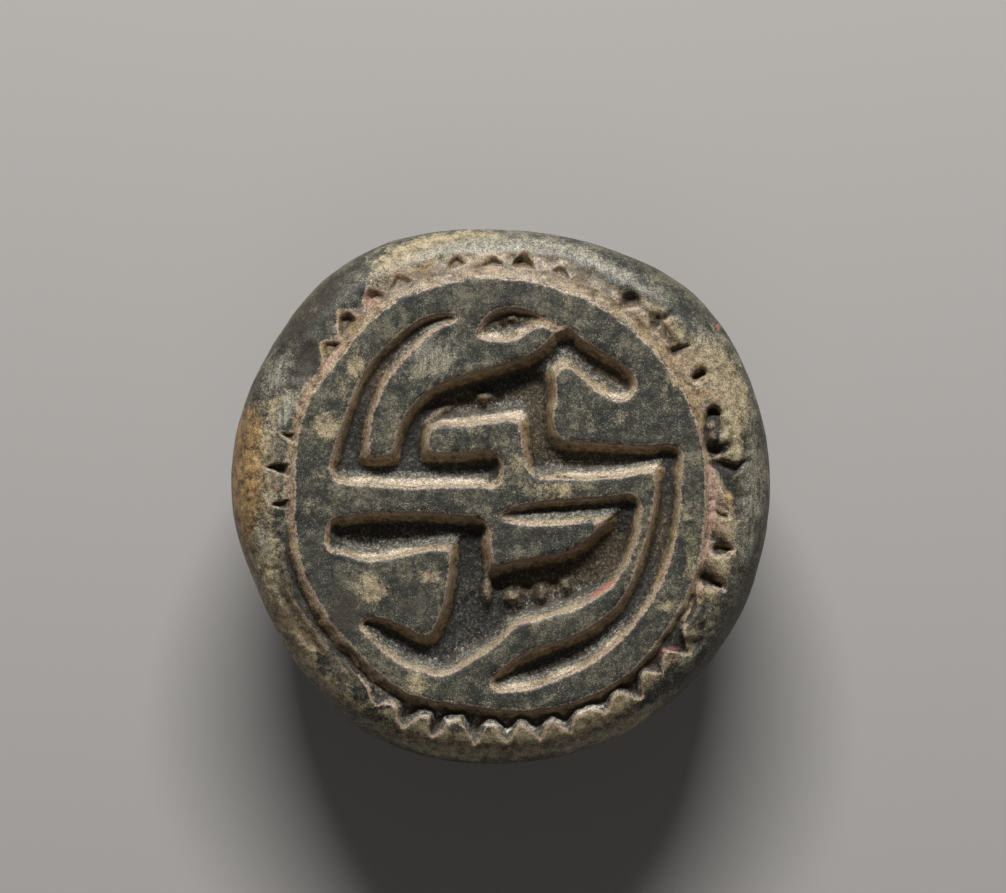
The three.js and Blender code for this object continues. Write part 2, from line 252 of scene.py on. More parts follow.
# ---- The string hole, bored along X from both sides ----
HOLE_HEIGHT = 5.0
HOLE_WAIST = 1.25             # radius in the middle of the stone
HOLE_THROAT = 1.45            # radius where the straight bore starts, inside the worn mouth
HOLE_LIP = 1.4                # radius up to which the mouth is worn in the most
HOLE_MOUTH = 2.3              # radius where that wear dies out
MOUTH_WEAR = 0.75             # how far the stone round the mouth is worn in
MOUTH_START = 10.6            # nothing nearer the middle than this is worn in
BORE_STEPS = 12               # rings of edges in each half of the bore
BORE_START, BORE_END = 10.4, 0.6   # distance of the first and last ring from the middle

# ---- Tints ----
# Patches of each tint on the face: (x, y, reach along x and y, strength).
FACE_TINTS = {
    "earth": [
        (1.6, 5.2, 1.2, 1.3, 1.0), (-2.0, 5.2, 2.0, 0.8, 0.8), (2.1, 3.4, 0.6, 1.2, 0.8),
        (5.5, -3.2, 1.8, 1.5, 1.3), (2.0, -4.9, 2.0, 0.8, 1.0), (-7.0, 6.5, 1.5, 1.8, 0.8),
        (8.9, -2.0, 0.6, 3.0, 0.8), (4.5, 7.6, 1.5, 1.0, 0.6), (6.0, 6.5, 0.9, 0.6, 1.2),
        (5.0, 2.3, 3.0, 0.5, 0.7), (0.6, 9.7, 1.2, 0.4, 1.2), (-4.9, 8.9, 1.2, 1.0, 0.9),
    ],
    "crust": [(0.2, 9.35, 1.0, 0.35, 0.8), (2.6, 9.7, 0.9, 0.3, 0.7), (5.9, 6.2, 0.8, 0.4, 0.7)],
    "rose": [
        (11.8, 0.6, 0.2, 0.4, 1.1), (12.1, 0.1, 0.22, 0.4, 1.2), (12.5, -0.5, 0.22, 0.35, 1.1),
        (11.85, -1.3, 0.2, 0.8, 0.6), (-7.4, 11.3, 0.4, 0.5, 0.8), (3.6, 9.0, 0.6, 0.5, 0.6),
        (-10.2, -0.2, 0.3, 0.3, 0.3),
    ],
    "tan": [
        (5.6, -1.5, 0.6, 0.2, 1.2), (-9.85, 4.0, 0.75, 0.75, 1.0), (-9.0, 3.6, 0.5, 0.6, 0.6),
        (-8.1, 7.4, 0.6, 0.8, 0.9), (-8.9, 6.0, 0.5, 0.9, 0.45), (-3.4, 7.6, 1.2, 0.8, 0.55),
        (-4.6, 6.9, 0.9, 0.7, 0.45), (-4.0, -4.4, 0.75, 0.4, 0.8), (-6.95, -5.2, 0.65, 0.6, 0.95),
        (-7.4, -4.3, 0.5, 0.6, 0.4), (-4.7, -10.2, 0.6, 0.8, 0.8), (0.8, 2.0, 0.4, 0.6, 0.75),
        (10.3, -1.1, 0.3, 0.25, 0.8), (9.2, -6.0, 0.7, 0.5, 0.65), (-8.0, -4.9, 1.0, 0.8, 0.3),
        (6.5, 4.2, 1.6, 1.0, 0.3), (9.5, 7.0, 0.8, 2.0, 0.45), (-10.6, -0.5, 0.4, 0.5, 0.3),
        (4.6, 5.2, 0.8, 0.5, 0.25), (-9.6, 1.1, 0.9, 0.35, 0.4), (2.5, 0.7, 3.0, 0.4, 0.4),
        (10.5, -3.5, 0.5, 1.6, 0.5), (3.3, 0.1, 1.5, 0.5, 0.45), (-1.2, 3.3, 1.0, 0.8, 0.35),
    ],
    "frost_and_sheen": [(-3.9, 7.8, 1.7, 1.3, 0.7), (11.76, 3.3, 0.5, 0.7, 0.8)],
    "olive": [(10.6, -2.6, 0.5, 1.6, 0.6), (-6.5, 9.3, 1.5, 0.6, 0.3), (4.0, 4.3, 1.2, 0.6, 0.35)],
    "soot": [
        (-5.0, -6.0, 1.2, 0.9, 0.5), (-8.7, -6.2, 1.2, 1.6, 0.75), (-10.3, -3.5, 0.6, 2.0, 0.4),
        (0.5, 11.1, 3.0, 0.6, 0.3), (3.0, -3.2, 2.0, 0.7, 0.2), (6.6, 3.0, 2.5, 0.5, 0.35),
    ],
    "pale": [
        (-7.6, 0.75, 1.6, 0.6, 1.0), (-5.0, 0.75, 1.6, 0.6, 1.0), (-2.2, 0.75, 1.8, 0.6, 1.0),
        (-3.2, 3.9, 1.3, 0.6, 0.8), (-0.8, 4.3, 1.6, 0.7, 1.0), (1.0, 4.7, 0.8, 0.6, 1.0),
        (4.0, 1.1, 1.2, 0.5, 0.8), (7.0, 1.35, 2.0, 0.5, 0.9), (9.0, 1.5, 0.8, 0.5, 1.0),
        (-0.6, 8.9, 0.9, 0.7, 0.6), (1.5, 9.3, 1.3, 0.6, 0.6), (3.0, 9.2, 0.8, 0.5, 0.8),
        (3.2, 7.1, 0.8, 0.7, 1.0), (5.0, 5.9, 1.0, 0.7, 0.9), (6.6, 5.4, 0.7, 0.6, 0.9),
        (11.8, 3.7, 0.5, 0.6, 1.3), (2.5, -1.7, 1.8, 0.45, 0.8), (5.0, -1.5, 1.3, 0.4, 0.9),
        (-8.0, -3.5, 1.3, 0.5, 0.9), (-5.5, -3.1, 1.5, 0.5, 0.9), (1.0, -10.7, 1.2, 0.6, 0.9),
        (4.0, -9.9, 1.3, 0.7, 1.0), (6.5, -8.2, 1.2, 0.8, 0.7), (-6.5, -9.1, 1.3, 0.5, 0.35),
        (-4.0, -9.8, 1.0, 0.5, 0.6), (1.5, -6.9, 1.3, 0.5, 0.3), (-1.0, -8.2, 1.3, 0.6, 0.15),
        (4.0, -5.9, 1.0, 0.4, 0.3),
    ],
    "red": [
        (5.05, -5.45, 0.2, 0.12, 0.9), (5.35, -5.25, 0.2, 0.13, 1.0), (5.65, -5.03, 0.2, 0.13, 1.0),
        (5.95, -4.82, 0.2, 0.13, 1.0), (6.25, -4.58, 0.2, 0.12, 0.9), (9.5, -8.35, 0.9, 0.35, 0.5),
        (8.8, -8.8, 0.4, 0.3, 0.45), (-12.5, 0.6, 0.1, 0.4, 0.75), (-10.6, 6.6, 0.25, 0.35, 0.6),
        (12.1, 9.5, 0.2, 0.3, 0.75),
    ],
}
# Patches round the border and shoulder: (bearing, distance out, reach in degrees and out, strength).
RIM_TINTS = {
    "tan": [
        (111, 14.2, 9, 0.9, 1.4), (98, 14.3, 8, 0.7, 1.2), (88, 13.4, 8, 0.7, 0.9),
        (75, 12.8, 22, 0.5, 0.9), (105, 12.9, 20, 0.5, 0.9), (45, 12.6, 12, 0.6, 0.8),
        (27, 13.7, 12, 1.3, 1.2), (14, 13.2, 7, 0.45, 0.8), (158, 13.3, 4, 0.6, 0.9),
        (3, 14.6, 5, 0.6, 0.5), (215, 13.4, 5, 0.4, 0.7), (200, 13.9, 8, 0.8, 0.55),
        (216, 14.5, 9, 0.8, 0.5), (226, 13.0, 6, 0.4, 0.3), (296, 14.5, 14, 0.5, 0.8),
        (252, 14.6, 16, 0.5, 0.6), (226, 14.3, 8, 0.4, 0.4), (285, 13.0, 22, 0.5, 0.8),
        (308, 12.9, 10, 0.5, 0.5), (250, 13.5, 14, 0.35, 0.75), (275, 13.45, 14, 0.35, 0.75),
        (292, 13.5, 12, 0.35, 0.6), (268, 14.2, 34, 0.5, 0.4), (50, 13.6, 8, 0.35, 0.6),
        (322, 13.1, 6, 0.5, 0.6), (345, 12.7, 12, 0.6, 1.1), (175, 12.9, 12, 0.6, 0.65),
        (192, 13.3, 8, 0.8, 0.5), (166, 13.6, 5, 0.5, 0.35), (207, 13.7, 3, 0.3, 0.8),
        (216, 13.3, 3, 0.3, 0.6),
    ],
    "ochre": [
        (176, 14.4, 11, 1.2, 1.2), (166, 14.8, 6, 0.9, 0.8), (152, 15.6, 8, 0.5, 0.5),
        (190, 15.2, 8, 0.9, 0.5), (201, 14.7, 10, 0.8, 0.65), (214, 14.0, 8, 0.8, 0.5),
        (228, 14.6, 8, 0.6, 0.4), (268, 14.1, 34, 0.45, 0.65), (28, 14.0, 9, 0.9, 0.9),
        (15, 13.2, 6, 0.5, 0.7), (352, 12.4, 18, 0.45, 1.1),
    ],
    # The first three, along the top of the shoulder, are a painted highlight: the key light's sheen
    # there.
    "frost_and_sheen": [
        (92, 14.1, 18, 0.5, 1.0), (72, 14.1, 12, 0.5, 0.9), (58, 13.9, 7, 0.5, 0.4),
        (151, 14.2, 5, 0.5, 0.95), (355, 14.0, 14, 1.0, 0.6), (12, 14.5, 8, 0.6, 0.4),
        (191, 13.5, 4, 0.4, 0.7), (203, 13.4, 4, 0.3, 0.7), (158, 12.9, 5, 0.4, 1.0),
        (38, 14.6, 8, 0.5, 0.4), (320, 13.7, 6, 0.6, 0.5),
    ],
    "rose": [
        (140, 12.1, 9, 0.25, 0.9), (156, 12.15, 6, 0.15, 0.7), (124, 12.8, 5, 0.5, 0.6),
        (24, 13.6, 5, 0.6, 0.6), (340, 11.7, 26, 0.22, 0.9), (10, 11.6, 14, 0.25, 0.7),
        (184, 11.7, 12, 0.15, 0.7), (205, 11.95, 14, 0.15, 0.6),
    ],
    "olive": [
        (128, 15.75, 16, 0.25, 0.9), (102, 16.2, 12, 1.1, 0.8), (80, 15.6, 10, 0.7, 0.9),
        (57, 17.2, 12, 1.3, 0.6), (121, 18, 9, 1.4, 0.6), (140, 15.8, 9, 0.7, 0.8),
        (50, 15.7, 8, 0.5, 0.6), (250, 16.4, 20, 1.3, 0.7), (288, 15.4, 14, 0.8, 0.7),
        (312, 18, 12, 1.6, 0.6), (340, 14.6, 20, 0.8, 0.5), (180, 20, 16, 1.6, 0.6),
        (20, 21, 20, 1.6, 0.6),
    ],
    # Painted highlight on the faces of the bottom teeth that face +Y, towards the key light.
    "painted_highlight": [
        (264, 12.85, 15, 0.4, 0.95), (290, 12.8, 12, 0.35, 0.7), (322, 12.7, 8, 0.3, 0.3),
        (238, 13.2, 6, 0.3, 0.4),
    ],
    "earth": [(350, 12.4, 12, 0.5, 1.0), (100, 13.3, 36, 0.5, 0.7)],
    "umber": [
        (210, 13.8, 14, 0.6, 0.6), (214, 12.9, 18, 0.45, 0.85), (228, 14.8, 10, 0.6, 0.6),
        (100, 13.1, 34, 0.5, 0.35), (121, 12.9, 8, 0.4, 0.5), (76, 13.4, 8, 0.5, 0.85),
        (55, 12.95, 20, 0.5, 0.75), (88, 13.4, 3, 0.35, 0.6), (104, 13.1, 3, 0.4, 0.8),
        (88, 13.1, 3, 0.4, 0.8), (96, 12.8, 2, 0.3, 0.6), (79, 13.0, 3, 0.4, 0.5),
        (112, 13.2, 3, 0.4, 0.5), (67, 13.1, 3, 0.4, 0.8), (57, 12.9, 3, 0.4, 0.9),
        (49, 12.8, 3, 0.4, 0.8), (42, 12.7, 3, 0.4, 0.8), (74, 12.7, 3, 0.25, 0.5),
        (122, 13.2, 3, 0.4, 0.6), (131, 13.0, 4, 0.4, 0.7), (20, 12.5, 6, 0.4, 0.7),
        (172, 12.7, 10, 0.3, 0.6), (350, 12.3, 8, 0.3, 0.6), (322, 12.9, 8, 0.5, 0.5),
        (1, 12.9, 4, 0.7, 0.3),
    ],
    "pale": [
        (265, 13.2, 20, 0.8, 0.5), (300, 13.1, 14, 0.6, 0.25), (346, 13.1, 14, 0.6, 0.9),
        (90, 12.3, 40, 0.3, 0.4), (30, 13, 14, 1, 0.3),
    ],
    "crust": [
        (102, 12.7, 28, 0.6, 0.75), (62, 12.75, 16, 0.7, 0.9), (32, 12.6, 16, 0.8, 1.0),
        (6, 12.0, 12, 0.4, 1.0), (345, 11.95, 16, 0.4, 1.1), (150, 12.15, 16, 0.3, 1.0),
        (176, 11.85, 16, 0.3, 1.1), (318, 13.0, 8, 0.6, 0.6), (225, 13.2, 8, 0.4, 0.4),
    ],
    "soot": [
        (145, 13.3, 7, 1.0, 0.8), (198, 13.2, 12, 0.5, 0.6), (212, 14.6, 10, 0.7, 0.3),
        (187, 13.1, 5, 0.3, 0.6), (205, 12.95, 20, 0.4, 0.45), (226, 12.9, 7, 0.35, 0.5),
        (1, 13.2, 5, 0.8, 0.7), (270, 16.0, 40, 0.9, 0.9), (315, 15.5, 20, 1.2, 0.8),
        (345, 15.0, 16, 1.0, 0.7), (225, 15.8, 14, 1.2, 0.8), (60, 15.6, 12, 0.8, 0.5),
        (135, 15.2, 9, 1.0, 1.1),
    ],
}


# ---- Helpers ----
DICE = np.random.default_rng(7).uniform(-1, 1, 4096)
SCATTER = (73856093, 19349663, 83492791)   # large primes, which give each cell its own die
FIELD_START, FIELD_SHIFT = 0.37, 13.7      # where a random field starts, and how far seeds shift it


def grain(points, size, seed=0):
    """Smooth random field from -1 to 1 over points, with features about size across."""
    scaled = points / size + FIELD_SHIFT * seed + FIELD_START
    cell = np.floor(scaled).astype(np.int64)
    part = scaled - cell
    fade = part * part * (3 - 2 * part)
    total = np.zeros(len(points))
    for corner in range(8):
        offset = np.array([corner & 1, corner >> 1 & 1, corner >> 2])
        x, y, z = ((cell + offset) * SCATTER).T
        total += DICE[(x ^ y ^ z) % len(DICE)] * np.prod(np.where(offset, fade, 1 - fade), axis=1)
    return total


def rough(points, size, octaves, seed=0):
    """Sum of grains, each half the size and half the strength of the one before."""
    return sum(grain(points, size / 2 ** i, seed + i) / 2 ** i for i in range(octaves))


def ramp(value, low, high):
    """0 below low, 1 above high and smooth between them."""
    t = np.clip((value - low) / (high - low), 0, 1)
    return t * t * (3 - 2 * t)


def soft_above_zero(value, width):
    """max(value, 0) with a corner rounded over about width."""
    return width * np.logaddexp(0, value / width)


def soft_min(value, limit, width):
    """min(value, limit) with a rounded corner."""
    return limit - soft_above_zero(limit - value, width)


def cubic(t, start, end, start_slope, end_slope):
    """Place at t, from 0 to 1, on the cubic curve with these ends and slopes."""
    return ((2 * t ** 3 - 3 * t ** 2 + 1) * start + (t ** 3 - 2 * t ** 2 + t) * start_slope
            + (3 * t ** 2 - 2 * t ** 3) * end + (t ** 3 - t ** 2) * end_slope)


def around(table, bearing, column=1):
    """A column's value at each bearing in degrees, smoothly through the rows of a table."""
    degrees, values = (np.array([row[i] for row in table], float) for i in (0, column))
    count = len(table)
    turn = np.mod(bearing, 360)
    after = np.searchsorted(degrees, turn, side="right")

    def knot(i):
        lap = np.floor_divide(i, count)
        return degrees[i - lap * count] + 360 * lap, values[i - lap * count]

    (b0, v0), (b1, v1), (b2, v2), (b3, v3) = (knot(after + i) for i in (-2, -1, 0, 1))
    span = b2 - b1
    slopes = (v2 - v0) / (b2 - b0) * span, (v3 - v1) / (b3 - b1) * span
    return cubic((turn - b1) / span, v1, v2, *slopes)


def smooth_line(points, step=0.12):
    """Places about step apart on the centripetal curve through points."""
    points = [np.array(point, float) for point in points]
    points = [2 * points[0] - points[1], *points, 2 * points[-1] - points[-2]]
    places = []
    for p0, p1, p2, p3 in zip(points, points[1:], points[2:], points[3:]):
        d0, d1, d2 = (math.sqrt(np.linalg.norm(b - a)) for a, b in ((p0, p1), (p1, p2), (p2, p3)))
        m1 = ((p1 - p0) / d0 - (p2 - p0) / (d0 + d1) + (p2 - p1) / d1) * d1
        m2 = ((p2 - p1) / d1 - (p3 - p1) / (d1 + d2) + (p3 - p2) / d2) * d1
        parts = np.arange(0, 1, min(1, step / np.linalg.norm(p2 - p1)))
        places += [cubic(t, p1, p2, m1, m2) for t in parts]
    return np.array([*places, points[-2]])


def patches(across, up, table):
    """Strength of one table's soft patches at each place."""
    return sum(strength * np.exp(-((across - x) / reach_x) ** 2 - ((up - y) / reach_y) ** 2)
               for x, y, reach_x, reach_y, strength in table)


# ---- The blank ----
def on_face(reach):
    """Radius and height on the face and shoulder, from the middle (0) to the grid's rim (1)."""
    edge = WIDE - SHOULDER
    travel = reach * (edge + SHOULDER * math.radians(90 - GRID_GAP))
    turn = max(0, travel - edge) / SHOULDER
    return min(travel, edge) + SHOULDER * math.sin(turn), HEIGHT - SHOULDER * (1 - math.cos(turn))


def on_back(reach):
    """Radius and height on the dome, from the flat spot (0) to the grid's rim (1)."""
    start = math.radians(GRID_GAP)
    turn = start + (1 - reach) * (math.pi / 2 - start)
    height = WIDEST - DOME_DEPTH * math.sin(turn)
    return WIDE * math.cos(turn), float(soft_above_zero(height, SPOT_EDGE))


def disc_grid(bm, divisions, place):
    """A square grid bent onto a disc and laid over the stone; returns its rim edges."""
    made = bmesh.ops.create_grid(bm, x_segments=divisions, y_segments=divisions, size=1)
    for vertex in made["verts"]:
        a, b = vertex.co.x, vertex.co.y
        if abs(a) > abs(b):
            reach, bearing = abs(a), math.pi / 4 * b / a + (math.pi if a < 0 else 0)
        else:
            reach = abs(b)
            bearing = math.pi / 2 - (math.pi / 4 * a / b if b else 0) + (math.pi if b < 0 else 0)
        radius, height = place(min(reach, 1))
        vertex.co = (radius * math.cos(bearing), radius * math.sin(bearing), height)
    return {edge for vertex in made["verts"] for edge in vertex.link_edges if edge.is_boundary}


def follow_rim(bm):
    """Stretches the round blank out to the hand-ground rim."""
    places = np.array([vertex.co for vertex in bm.verts])
    bearing = np.degrees(np.arctan2(places[:, 1], places[:, 0]))
    for vertex, stretch in zip(bm.verts, around(RIM, bearing) / WIDE):
        vertex.co.xy *= stretch


def from_hole(co):
    """Distance of a place from the string hole's axis."""
    return math.hypot(co.y, co.z - HOLE_HEIGHT)


def fit_to_bore(edges, radius, x=None):
    """Puts edges on a circle round the string hole's axis, at one x if it is given."""
    for vertex in {vertex for edge in edges for vertex in edge.verts}:
        scale = radius / from_hole(vertex.co)
        vertex.co.y *= scale
        vertex.co.z = HOLE_HEIGHT + (vertex.co.z - HOLE_HEIGHT) * scale
        if x is not None:
            vertex.co.x = x


def bore_string_hole(bm):
    """Opens both mouths, runs rings of edges inwards from them and joins those in the middle."""
    near = [edge for edge in bm.edges if all(
        vertex.co.z < WIDEST and from_hole(vertex.co) < HOLE_MOUTH for vertex in edge.verts)]
    bmesh.ops.subdivide_edges(bm, edges=near, cuts=1, use_grid_fill=True)
    inside = [face for face in bm.faces if from_hole(face.calc_center_median()) < HOLE_THROAT
              and abs(face.calc_center_median().x) > FLAT_SPOT]
    bmesh.ops.delete(bm, geom=inside, context="FACES")
    ends = []
    for side in (-1, 1):
        ring = [edge for edge in bm.edges if edge.is_boundary and edge.verts[0].co.x * side > 0]
        fit_to_bore(ring, HOLE_THROAT)
        for step in range(BORE_STEPS):
            made = bmesh.ops.extrude_edge_only(bm, edges=ring)["geom"]
            ring = [item for item in made
                    if isinstance(item, bmesh.types.BMEdge) and item.is_boundary]
            part = step / (BORE_STEPS - 1)
            fit_to_bore(ring, HOLE_THROAT + (HOLE_WAIST - HOLE_THROAT) * part,
                        side * (BORE_START + (BORE_END - BORE_START) * part))
        ends += ring
    bmesh.ops.bridge_loops(bm, edges=ends)


def make_blank():
    """The uncarved stone as one closed mesh."""
    bm = bmesh.new()
    rims = [*disc_grid(bm, FACE_DIVISIONS, on_face), *disc_grid(bm, BACK_DIVISIONS, on_back)]
    bmesh.ops.bridge_loops(bm, edges=rims)
    follow_rim(bm)
    bore_string_hole(bm)
    bmesh.ops.recalc_face_normals(bm, faces=bm.faces)
    blank = bpy.data.meshes.new("amulet_stone")
    bm.to_mesh(blank)
    bm.free()
    return blank


# ---- The carving ----
def stroke_shape(x, y, points, spread):
    """Which places lie near a stroke, widened by spread on either side, and for those: how far
    inside its lip they are, its half width there, and their side of it: -Y (1) or +Y (-1)."""
    line = smooth_line(points)
    reach = line[:, 2].max() + NEAR
    near = ((x > line[:, 0].min() - reach) & (x < line[:, 0].max() + reach)
            & (y > line[:, 1].min() - reach) & (y < line[:, 1].max() + reach))
    px, py = x[near], y[near]
    gap, half, below = np.full_like(px, -FAR), np.ones_like(px), np.zeros_like(px)
    for start, end in zip(line, line[1:]):
        dx, dy, widening = end - start
        t = np.clip(((px - start[0]) * dx + (py - start[1]) * dy) / (dx * dx + dy * dy), 0, 1)
        ax, ay = px - start[0] - t * dx, py - start[1] - t * dy
        away = np.hypot(ax, ay) + 1e-9
        here = start[2] + spread + t * widening
        closer = here - away > gap
        gap = np.where(closer, here - away, gap)
        half = np.where(closer, here, half)
        below = np.where(closer, -ay / away, below)
    return near, gap, half, below


def stroke_cuts(x, y, strokes, per_width, spread=0.0):
    """Depth of carved strokes under each place in plan, how far inside a lip it is, how far down
    the wall from the lip (0) to the floor (1), and its side of the stroke, as in stroke_shape."""
    shapes = {name: stroke_shape(x, y, points, spread) for name, points in strokes.items()}
    joined, lip = np.zeros_like(x), np.full_like(x, -FAR)
    for near, gap, _, _ in shapes.values():
        joined[near] += np.exp(gap / CORNER_WEAR)
        lip[near] = np.maximum(lip[near], gap)
    bonus = np.where(joined > 0, CORNER_WEAR * np.log(np.maximum(joined, 1e-30)) - lip, 0)
    depth, deep, side = np.zeros_like(x), np.zeros_like(x), np.zeros_like(x)
    for name, (near, gap, half, below) in shapes.items():
        floor = np.minimum(DEEPEST, per_width * half) * SHARE.get(name, 1)
        run = floor * WALL_RUN * (1 + UPPER_WALL_EASE * np.maximum(-below, 0)
                                  + LOWER_WALL_EASE * np.maximum(below, 0))
        run = np.minimum(run, np.minimum(half, LONGEST_RUN)) * STEEP.get(name, 1)
        inwards = soft_above_zero(gap + bonus[near], LIP_WEAR) / run
        wall = floor * (1 - (1 - np.minimum(inwards, 1)) ** WALL_CURVE)
        depth[near] += wall ** UNION
        bared = inwards * np.minimum(floor / COATED, 1)
        side[near] = np.where(bared > deep[near], below, side[near])
        deep[near] = np.maximum(deep[near], bared)
    return depth ** (1 / UNION), lip + bonus, deep, side


def border_cuts(x, y):
    """The same for the ring groove, the zigzag border and the worn band between them."""
    radius, bearing = np.hypot(x, y), np.degrees(np.arctan2(y, x))
    past_disc = radius - around(DISC, bearing)
    width, floor, slope = (around(RING, bearing, column) for column in (1, 2, 3))
    side_of_ring = slope * (width - past_disc)
    cuts = -FAR
    for aim, tip, half, depth, lean in BORDER:
        length = tip - around(DISC, aim) - around(RING, aim)
        turn = np.radians((bearing - aim + 180) % 360 - 180)
        leaning = radius * turn - lean * (tip - radius) / length
        across = np.hypot(leaning, TIP_WIDTH) - TIP_WIDTH
        pit = around(RING, aim, 2) < depth
        curve = PIT_CURVE if pit and not lean else MOUTH_CURVE
        edge = length * (1 - (1 - np.minimum(across / half, 1)) ** curve)
        closed = np.where(floor > depth, FAR, CUT_END * (past_disc - width + CUT_REACH))
        fall = GENTLE_FALL if lean else TIP_FALL
        cut = np.minimum(np.minimum(fall * (tip - radius - edge), depth), closed)
        if lean:
            cut = np.minimum(cut, depth * np.clip(0.5 - 0.5 * leaning / half, 0, 1))
        cuts = np.maximum(cuts, np.where(across < CUT_SPAN * half, cut, -FAR))
    ring = np.minimum(side_of_ring, floor)
    outer = TOOTH_WEAR * np.logaddexp(ring / TOOTH_WEAR, cuts / TOOTH_WEAR)
    inner = soft_above_zero(past_disc, LIP_WEAR) / around(RING, bearing, 4)
    depth = soft_min(inner, soft_above_zero(outer, LIP_WEAR), CREASE)
    worn = around(BAND_WEAR, bearing) * ramp(past_disc, *BAND_FROM) * (1 - ramp(radius, *BAND_END))
    end_of_tooth = np.minimum(side_of_ring, side_of_ring - cuts) / slope
    lip = np.minimum(past_disc, np.maximum(end_of_tooth, np.minimum(outer, LIP_DEPTH)))
    # Painted shadow on the ring at these bearings: its outer part loses its wall colour and its floor
    # its dust, so it stays black.
    painted_shadow = ramp(bearing % 360, *PAINTED_SHADOW_BEARINGS[:2]) * (1 - ramp(bearing % 360, *PAINTED_SHADOW_BEARINGS[2:]))
    lip = lip - painted_shadow * ramp(past_disc / width, *PAINTED_SHADOW_LINE)
    coated = np.where(end_of_tooth > 0, side_of_ring / floor, outer / TOOTH_COAT)
    side = np.where(past_disc < width / 2, 1, -1) * np.sin(np.radians(bearing)) - painted_shadow
    bared = np.minimum(inner / floor, coated) * ramp(floor, THIN_COAT, COATED)
    return np.maximum(depth, worn), lip, bared, side


def crests(mesh, places, outward, rounds=3):
    """How far each vertex stands out from the mean of those round it: edges and ridges are high."""
    ends = np.empty(2 * len(mesh.edges), np.int32)
    mesh.edges.foreach_get("vertices", ends)
    first, second = ends.reshape(-1, 2).T
    count = len(places)
    neighbours = np.bincount(first, minlength=count) + np.bincount(second, minlength=count)
    mean = places.T
    for _ in range(rounds):
        sums = [np.bincount(first, row[second], count) + np.bincount(second, row[first], count)
                for row in mean]
        mean = np.array(sums) / neighbours
    return np.sum((places - mean.T) * outward, axis=1)


def vertex_rows(mesh, name):
    """The places ("co") or the directions ("normal") of a mesh's vertices, one to a row."""
    flat = np.empty(len(mesh.vertices) * 3)
    mesh.vertices.foreach_get(name, flat)
    return flat.reshape(-1, 3)


def wandering(places, plan, kind, share=1):
    """Plan places moved about a little, which makes the lips of a cut wander."""
    reach, size, *seeds = WANDER[kind]
    return [way + reach * share * rough(places, size, 3, seed) for way, seed in zip(plan, seeds)]


def wear_mouths(places):
    """Sinks the stone round both mouths of the string hole."""
    out_of_hole = np.hypot(places[:, 1], places[:, 2] - HOLE_HEIGHT)
    at_mouth = np.abs(places[:, 0]) > MOUTH_START
    wear = MOUTH_WEAR * (1 - ramp(out_of_hole, HOLE_LIP, HOLE_MOUTH)) * at_mouth
    places[:, 0] -= np.sign(places[:, 0]) * wear


def tint_strengths(places):
    """How strong each tint is at each place, by its name."""
    x, y, z = places.T
    bearing = np.degrees(np.arctan2(y, x)) % 360
    out = np.where(z > WIDEST, np.hypot(x, y), WIDE + WIDEST - z)
    upper = ramp(z, WIDEST - 1, WIDEST)
    strengths = {}
    for name in {**RIM_TINTS, **FACE_TINTS}:
        on_rim = [(aim + lap, *rest) for aim, *rest in RIM_TINTS.get(name, []) for lap in (-360, 0, 360)]
        face = upper * patches(x, y, FACE_TINTS.get(name, []))
        strengths[name] = face + patches(bearing, out, on_rim)
    return strengths


def carve(blank):
    """Cuts the figures and the border into the blank, wears its surface, and stores what the
    finish reads."""
    places, outward = vertex_rows(blank, "co"), vertex_rows(blank, "normal")
    x, y, z = places.T
    radius = np.hypot(x, y)
    top = ramp(z, *CARVED_ABOVE)
    plan = wandering(places, (x, y), "figures")
    figures = stroke_cuts(*plan, STROKES, DEPTH_PER_WIDTH, LIP_SPREAD)
    ledges = stroke_cuts(*plan, LEDGES, LEDGE_RISE)[0]
    cracks = stroke_cuts(*wandering(places, plan, "cracks"), CRACKS, CRACK_DEPTH)
    border = border_cuts(*wandering(places, plan, "border", ramp(radius, *LOOSE_FROM)))
    lumps = patches(x, y, LUMPS) * (1 + LUMP_ROUGH * rough(places, *LUMP_GRAIN))
    depth = (np.maximum(figures[0], border[0]) + cracks[0]) * top
    for standing in (ledges, lumps):
        depth -= standing * ramp(depth, *LUMPS_FROM)
    deep = np.maximum(figures[2], np.maximum(border[2], CRACK_BARENESS * cracks[2]))
    looks = {
        "lip": np.where(top > 0, np.maximum(figures[1], border[1]), -FAR),
        "deep": np.where(top > 0, deep, 0),
        # side: 1 by the wall of a cut that faces +Y, -1 by the one that faces away; floors are painted
        # pale by the first and black by the second, painted light and shade.
        "side": np.where(figures[2] > border[2], figures[3], border[3]),
        "clod": ramp(lumps + LEDGE_EARTH * ledges, *CLOD_RISE) * ramp(depth, *CLODS_FROM),
    }

    strength = {
        "everywhere": 1, "floors": ramp(depth, *GRAIN_FROM), "shoulder": ramp(radius, *SHOULDER_FROM),
        "border": ramp(border[0], *BORDER_DEPTH) * ramp(radius, *BORDER_FROM),
        "broken": patches(x, y, BROKEN),
    }
    surface = sum(height * strength[part] * rough(places, size, octaves, seed)
                  for part, (height, size, octaves, seed) in UNEVEN.items())
    places[:, 2] -= depth
    off_the_spot = z > SPOT_TOP
    places += outward * (surface * off_the_spot)[:, None]
    wear_mouths(places)
    blank.vertices.foreach_set("co", (places * MM).ravel())
    blank.update()

    outward = vertex_rows(blank, "normal")
    # facing: how far the surface faces +Y, towards the key light; the finish paints light and shade on
    # the walls by it.
    looks |= {"facing": outward[:, 1], "crest": crests(blank, places, outward) * top}
    looks |= tint_strengths(places)
    for name, values in looks.items():
        stored = blank.attributes.new(name, "FLOAT", "POINT")
        stored.data.foreach_set("value", values.astype(np.float32))


